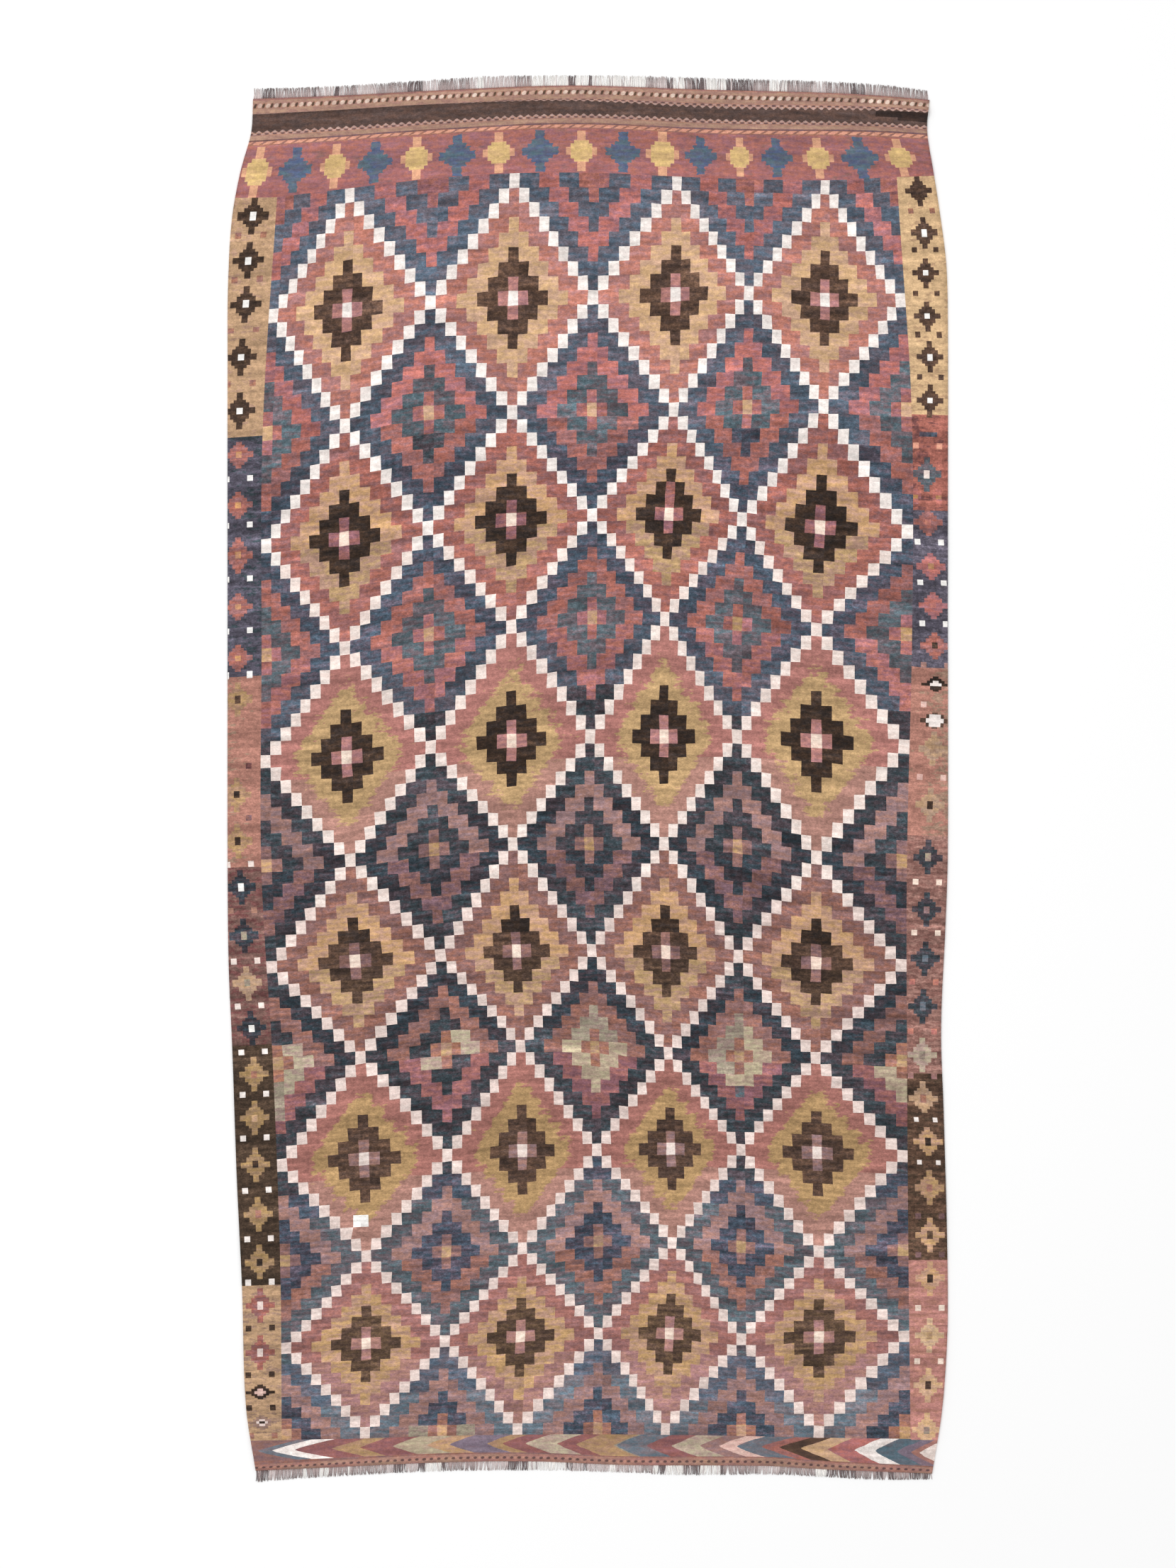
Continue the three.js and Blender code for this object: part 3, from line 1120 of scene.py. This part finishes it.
def woven(bench, colour, across, along, seed, force):
    """Wool of one colour as it is woven: streaked along the wefts, ribbed over the warps with painted shade
    in the valleys, and matt.
    """
    course = bench.noise(across * 1.2 + seed * 3, along * 40, 1.5, 1.0)
    streak = bench.noise(across * 11, along * 140, 3.5, 1.0)
    patch = bench.noise(across * 18 + seed * 40, along * 54, seed * 7)
    fleck = bench.noise(across * 95, along * 135, 4.0, 1.0)
    thread = bench.noise(across * 260, along * 560, 7.0)
    wander = (course - 0.5) * 0.9 + (streak - 0.5) * 0.7 + (patch - 0.5) * 0.8
    wander = wander + (fleck - 0.5) * 0.95 + (thread - 0.5) * 1.1
    tone = bench.math("EXPONENT", wander * force * 3)
    strays = bench.noise(across * 60, along * 60, 9.0)
    rib_phase = across / RIB + strays * 1.4
    rib = bench.math("COSINE", rib_phase * math.tau) * 0.5 + 0.5
    lane = bench.math("FLOOR", rib_phase + 0.5)
    pick = bench.math("COSINE", (along / PICK + lane * 0.5 + strays * 1.2) * math.tau) * 0.5 + 0.5
    height = rib * 0.65 + pick * 0.35
    # The relief's height also darkens the colour in the valleys between ribs and picks: painted shade,
    # besides the bump.
    colour_with_valley_shade = bench.brighten(colour, tone * (0.87 + height * 0.12))
    bump = bench.node("Bump", None, {"Height": height + thread * 0.5, "Strength": 0.55, "Distance": 0.0005})
    sockets = {"Base Color": colour_with_valley_shade, "Roughness": 0.86 + (patch - 0.5) * 0.2, "Normal": bench.wire(bump),
               "Specular IOR Level": 0.12, "Sheen Weight": 0.05, "Sheen Roughness": 0.6}
    return bench.finish(sockets)


def plain_finish(name):
    bench = Bench(name)
    across, along, share, seed, force, crisp = weft_marks(bench)
    colour = yarn_colour(bench, across, along, share, seed, crisp)
    return woven(bench, colour, across, along, seed, force)


def banded_finish(name, pattern):
    """A finish whose motif a function draws over the ground, from the band's own coordinates."""
    bench = Bench(name)
    across, along, share, seed, force, crisp = weft_marks(bench)
    ground = yarn_colour(bench, across, along, share, seed, crisp)
    over, down = bench.uv("Motif")
    rough = bench.noise(across * 220, along * 500, 3.0) - 0.5
    flecks = bench.noise(across * 60, along * 170, 6.5)
    carded = bench.clamp((flecks - 0.5) * 3 + 0.5)

    def wool(yarn, shade=1.0):
        return bench.mix(carded, dye(yarn, shade), dye(yarn, shade, 1))

    colour = pattern(bench, ground, over, down, rough, wool)
    return woven(bench, colour, across, along, seed, force)


def oval(phase, down, centre, half_wide, half_deep, middle=0.5):
    """2 in the middle of an oval of a repeat's phase and 0 at its edge; it is clamped where it is used."""
    wide = (phase - centre) / half_wide
    deep = (down - middle) / half_deep
    return (1 - (wide * wide + deep * deep)) * 2


def wrapped_row(bench, ground, over, down, rough, wool):
    """Pale ovals with a soft brown stroke between each two."""
    phase = (over / WRAP_REPEAT + rough * 0.15 + down * 0.2) % 1
    faded = bench.clamp((bench.noise(over * 14, 0.0, 5.0) - 0.36) * 4)
    pale = bench.mix(faded, wool("tan", 1.1), wool("cream", 0.94))
    stroke = bench.mix(bench.clamp(oval(phase, down, 0.86, 0.2, 0.52)), ground, wool("cocoa"))
    return bench.mix(bench.clamp(oval(phase, down, 0.40, 0.32, 0.5)), stroke, pale)


def teeth(bench, ground, over, inward, rough, wool):
    """Two rows of small teeth, set like a checker, from the dark band's edge outwards."""
    phase = (over / TEETH_REPEAT + rough * 0.25) % 1
    peak = abs(phase - 0.5) * 2
    spots = bench.clamp(oval(phase, inward, 0.5, 0.3, 0.2, 0.66))
    pale = bench.clamp(oval(phase, inward, 0.5, 0.34, 0.26, 0.26))
    far = bench.clamp(oval(abs(phase - 0.5), inward, 0.5, 0.26, 0.2, 0.66))
    rows = bench.mix(spots, ground, wool("umber rose", 0.8))
    rows = bench.mix(far * 0.7, rows, wool("shell", 0.72))
    rows = bench.mix(pale, rows, wool("shell", 0.62))
    return bench.mix(inward < peak * 0.55 - 0.05, rows, wool("band brown"))


def upper_teeth(bench, ground, over, down, rough, wool):
    return teeth(bench, ground, over, 1 - down, rough, wool)


def lower_teeth(bench, ground, over, down, rough, wool):
    return teeth(bench, ground, over, down, rough, wool)


def slanted_dashes(bench, ground, over, down, rough, wool):
    phase = (over / DASH_REPEAT + down * 0.7 + rough * 0.3) % 1
    dash = (phase < 0.68) * (abs(down - 0.42) < 0.36)
    return bench.mix(dash, ground, wool("peach"))


LOZENGE_STEPS = ((0.09, 0.39), (0.18, 0.275), (0.26, 0.185), (0.48, 0.105))  # (half height, half width)


def lozenges(bench, ground, over, down, rough, wool):
    """Stepped lozenges, ochre and blue by turns, on a ground that reddens towards the field."""
    middle = len(LOZENGES) // 2
    number = bench.math("FLOOR", over + 0.5)
    blue = (number % 2) > 0.5
    side = (number - middle) / middle
    lean = side * side * side * -0.26
    size = (bench.noise(number * 3.7, 0.5, 0.5, 0.0) - 0.5) * 0.3 + 1
    ragged = bench.noise(over * 4, down * 16, number * 1.7) - 0.5
    aside = (abs(over - number - lean * (0.5 - down)) + ragged * blue * 0.14) / (size + blue * 0.06)
    rows = (abs(down - 0.51) + ragged * blue * 0.12) / (size - blue * 0.08)
    inside = 0
    for half_height, half_width in LOZENGE_STEPS:
        inside = (rows < half_height) * (aside < half_width) + inside
    inside = (over < len(LOZENGES) - 0.6) * inside
    tips = bench.clamp(((aside > 0.27) + (rows > 0.25)) * 0.75)
    ochre = bench.mix(tips, wool("honey"), wool("peach", 0.98))
    shifting = bench.clamp((bench.noise(over * 2.4, down * 9, 2.0) - 0.42) * 6)
    blues = bench.mix(shifting, wool("steel"), wool("verdigris"))
    blotch = bench.noise(over * 2.2, down * 6, 4.0) - 0.5
    reddened = bench.mix(bench.clamp((down + blotch * 2.4 - 0.6) * 2.2), ground, wool("salmon", 0.88))
    dull = bench.mix(bench.clamp(blotch * 5 - 0.35), reddened, wool("plum"))
    return bench.mix(inside > 0.5, dull, bench.mix(blue, ochre, blues))


def dotted_row(bench, ground, over, down, rough, wool):
    """Small dark dots with paler wool between them, over a worn ground."""
    phase = (over / DOT_REPEAT + rough * 0.3 - down * 0.2) % 1
    worn = bench.mix(bench.clamp((bench.noise(over * 9, down, 1.0) - 0.42) * 5), ground, wool("tan", 0.9))
    light = bench.clamp(oval(abs(phase - 0.5), down, 0.5, 0.28, 0.22, 0.48))
    light = bench.mix(light * 0.6, worn, wool("clay", 1.25))
    return bench.mix(bench.clamp(oval(phase, down, 0.5, 0.28, 0.19, 0.5)), light, wool("umber rose", 0.7))


# Where each arrowhead's point lies across, and its yarn.
CHEVRONS = ((-697, "plum"), (-690, "smoke"), (-657, "ivory"), (-610, "garnet"), (-536, "gold"),
            (-477, "garnet"), (-408, "pale sage"), (-335, "ochre"), (-290, "lilac"), (-216, "gold"),
            (-180, "garnet"), (-131, "sage"), (-68, "garnet"), (-25, "gold"), (47, "grey sage"),
            (58, "smoke"), (118, "garnet"), (170, "sage"), (230, "mauve"), (273, "shell"),
            (310, "smoke"), (363, "brick rose"), (394, "walnut"), (441, "camel"), (493, "salmon"),
            (551, "ivory"), (592, "verdigris"), (641, "lilac"), (668, "rose tan"), (691, "warm ivory"))
CHEVRON_SLANT = 0.052  # how far back an arrowhead's sides sweep, in metres


def chevrons(bench, ground, over, down, rough, wool):
    """Arrowheads that point to the left, end to end, each of its own length and yarn."""
    lean = bench.math("POWER", abs(down - 0.5) * 2, 1.2)
    longer = bench.clamp((-0.42 - over) * 12) * 0.03 + bench.clamp(1 - abs(over - 0.44) * 9) * 0.02
    wavering = bench.noise(over * 24, down * 2, 2.5) - 0.5
    place = over - lean * (longer + CHEVRON_SLANT) + rough * 0.004 + wavering * 0.012
    share = (place + HALF_WIDTH * MM) / (2 * HALF_WIDTH * MM)
    plies = []
    for ply in (0, 1):
        stops = [((tip + HALF_WIDTH) / (2 * HALF_WIDTH), dye(yarn, 1.0, ply)) for tip, yarn in CHEVRONS]
        plies.append(bench.wire(bench.node("ValToRGB", {"stops": stops}, {0: share})))
    carded = bench.clamp((bench.noise(over * 60, down * 8, 6.5) - 0.5) * 3 + 0.5)
    drift = bench.clamp((bench.noise(over * 18, down * 3, 8.0) - 0.52) * 4)
    return bench.mix(drift * 0.3, bench.mix(carded, plies[0], plies[1]), wool("rose tan"))


def strand_finish():
    bench = Bench("warp_ends")
    spot = bench.node("SeparateXYZ", None, {0: bench.wire(bench.node("TexCoord"), 3)})
    x, y, z = (bench.wire(spot, index) for index in range(3))
    twist = bench.noise(x * 900 + y * 500, y * 700, z * 900)
    fibre = bench.noise(x * 2600, y * 420, z * 2600)
    colour = bench.brighten(bench.attribute("yarn"), 0.72 + twist * 0.3 + fibre * 0.26)
    bump = bench.node("Bump", None, {"Height": twist + fibre * 0.5, "Strength": 0.6, "Distance": 0.0003})
    sockets = {"Base Color": colour, "Roughness": 0.82 + fibre * 0.14, "Normal": bench.wire(bump),
               "Specular IOR Level": 0.2, "Sheen Weight": 0.15, "Sheen Roughness": 0.5}
    return bench.finish(sockets)


def floor_finish():
    bench = Bench("pale_floor")
    sockets = {"Base Color": (0.96, 0.96, 0.96, 1.0), "Roughness": 0.9, "Specular IOR Level": 0.1}
    return bench.finish(sockets)


# ----------------------------------------
# The warp ends: strands of hand-spun wool, pale and dark by turns.
# ----------------------------------------

STRAND_PITCH = 1.65
STRAND_RADIUS = 0.95
STRAND_SIDES = 5
STRAND_CUTS = 3
STRAND_HOLD = 1.5  # how far a strand reaches back under the cloth's end
FRINGE_MARGIN = 2  # from a corner of the cloth to the first strand
TUFT_CHANCE = 0.2  # that a strand starts a new tuft
MIXED_CHANCE = 0.12  # that a strand strays from its run's yarn
# How far the strands reach: (across, reach).
DARK_END_REACH = ((-694, 23), (-574, 21.5), (-309, 24), (-220, 26), (-43, 22.5), (134, 25.5), (607, 24),
                  (712, 20))
CHEVRON_END_REACH = ((-692, 25), (-600, 22), (-400, 19.5), (-160, 20), (75, 17), (200, 21.5), (371, 19),
                     (489, 17), (607, 18.5), (719, 13))
# Runs of strands, each up to a place across.
DARK_END_RUNS = (
    (-678, "pale"), (-651, "dark"), (-574, "dusty"), (-565, "dark"), (-530, "pale"), (-518, "dark"),
    (-506, "pale"), (-478, "dusty"), (-440, "pale"), (-375, "dusty"), (-345, "dark"), (-311, "pale"),
    (-245, "dusty"), (-232, "pale"), (-217, "white"), (-154, "pale"), (-117, "dusty"), (-41, "white"),
    (-25, "dark"), (1, "white"), (9, "dark"), (122, "white"), (137, "dusty"), (167, "pale"),
    (179, "dark"), (202, "white"), (215, "dusty"), (248, "dark"), (289, "white"), (344, "dark"),
    (378, "dusty"), (415, "white"), (467, "dusty"), (496, "pale"), (548, "dusty"), (580, "dark"),
    (720, "dusty"),
)
CHEVRON_END_RUNS = (
    (-666, "dark"), (-650, "pale"), (-592, "dusty"), (-586, "white"), (-557, "dusty"), (-539, "white"),
    (-500, "dusty"), (-495, "white"), (-419, "dusty"), (-403, "pale"), (-379, "dark"), (-353, "pale"),
    (-338, "dark"), (-304, "white"), (-294, "dark"), (-235, "dusty"), (-165, "pale"), (-125, "dark"),
    (-44, "white"), (-31, "dark"), (-7, "pale"), (0, "dark"), (46, "pale"), (60, "white"), (112, "pale"),
    (137, "dusty"), (148, "white"), (164, "dark"), (198, "white"), (235, "dark"), (276, "white"),
    (282, "dark"), (356, "dusty"), (400, "pale"), (474, "dusty"), (497, "white"), (560, "dark"),
    (601, "dusty"), (614, "dark"), (625, "pale"), (642, "dark"), (670, "dusty"), (730, "dark"),
)
TIP_SHADES = {"white": 0.92, "pale": 0.8, "dusty": 0.5, "dark": 0.62}


def strand_shape():
    """One straight strand of unit length and girth along Z, to be bent to its place."""
    shape = bmesh.new()
    bmesh.ops.create_cone(shape, cap_ends=True, segments=STRAND_SIDES, radius1=1, radius2=0.6, depth=1,
                          matrix=Matrix.Translation((0, 0, 0.5)))
    long_edges = [edge for edge in shape.edges if abs(edge.verts[0].co.z - edge.verts[1].co.z) > 0.5]
    bmesh.ops.subdivide_edges(shape, edges=long_edges, cuts=STRAND_CUTS)
    mesh = bpy.data.meshes.new("strand_shape")
    shape.to_mesh(mesh)
    shape.free()
    return mesh


def spin_fringe(name, end, runs, reaches, seed):
    """All the strands of one end as one mesh."""
    shape = strand_shape()
    size = len(shape.vertices)
    fringe = bmesh.new()
    chance = random.Random(seed)
    left, right = end.corners
    yarns = []
    across = left + FRINGE_MARGIN
    tuft_lean = 0
    while across < right - FRINGE_MARGIN:
        if chance.random() < TUFT_CHANCE:
            tuft_lean = chance.uniform(-3, 3)
        fringe.from_mesh(shape)
        fringe.verts.ensure_lookup_table()
        root = end.end_along(across) - end.way * STRAND_HOLD
        length = smooth(reaches, across) * chance.uniform(0.86, 1.0) + STRAND_HOLD
        lean = tuft_lean + chance.uniform(-1.4, 1.4)
        bow = chance.uniform(-1.2, 1.2)
        girth = STRAND_RADIUS * chance.uniform(0.8, 1.15)
        start = chance.uniform(1.0, 1.9)
        for vert in fringe.verts[-size:]:
            part = vert.co.z
            middle = across + lean * part * part + bow * math.sin(part * math.pi)
            height = start + (girth + 0.1 - start) * min(1, part * 1.6)
            vert.co = Vector((middle + vert.co.x * girth,
                              root + end.way * length * part,
                              max(0.05, height + vert.co.y * girth))) * MM
        named = next(yarn for stop, yarn in runs if across <= stop or stop == runs[-1][0])
        if chance.random() < MIXED_CHANCE:
            named = chance.choice(("pale", "dusty"))
        yarns.append((named, chance.uniform(0.88, 1.1)))
        across += STRAND_PITCH * chance.uniform(0.7, 1.3)
    layer = fringe.loops.layers.float_color.new("yarn")
    parts = [polygon.center.z for polygon in shape.polygons]
    for index, face in enumerate(fringe.faces):
        yarn, shade = yarns[index // len(parts)]
        tip = max(0, parts[index % len(parts)] - 0.45) / 0.55
        shade *= 1 + (TIP_SHADES[yarn] - 1) * tip
        face.smooth = True
        for loop in face.loops:
            loop[layer] = dye(yarn + " warp", round(shade, 2))
    bpy.data.meshes.remove(shape)
    return make_piece(name, fringe)


# ----------------------------------------
# Putting it together
# ----------------------------------------

PATTERNS = {pattern.__name__: pattern for pattern in (wrapped_row, upper_teeth, lower_teeth, slanted_dashes,
                                                      lozenges, dotted_row, chevrons)}
FLOOR_SIZE = 40
FLOOR_DROP = 0.0002  # so that the cloth's underside doesn't share its plane

cloth = weave_cloth()
for finish in FINISHES:
    pattern = PATTERNS.get(finish)
    cloth.data.materials.append(banded_finish(finish, pattern) if pattern else plain_finish("woven_wool"))

dark_fringe = spin_fringe("dark_band_warp_ends", DARK_END, DARK_END_RUNS, DARK_END_REACH, 5)
far_fringe = spin_fringe("chevron_warp_ends", FAR_END, CHEVRON_END_RUNS, CHEVRON_END_REACH, 9)
strands = strand_finish()
for fringe in (dark_fringe, far_fringe):
    fringe.data.materials.append(strands)

bpy.ops.mesh.primitive_plane_add(size=FLOOR_SIZE, location=(0, 0, -FLOOR_DROP))
floor = bpy.context.object
floor.name = "pale_floor"
floor.data.materials.append(floor_finish())

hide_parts("woven_cloth")
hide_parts("fringe_dark_band_end")
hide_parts("fringe_chevron_end")
for piece in (cloth, dark_fringe, far_fringe):
    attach(piece, "root")
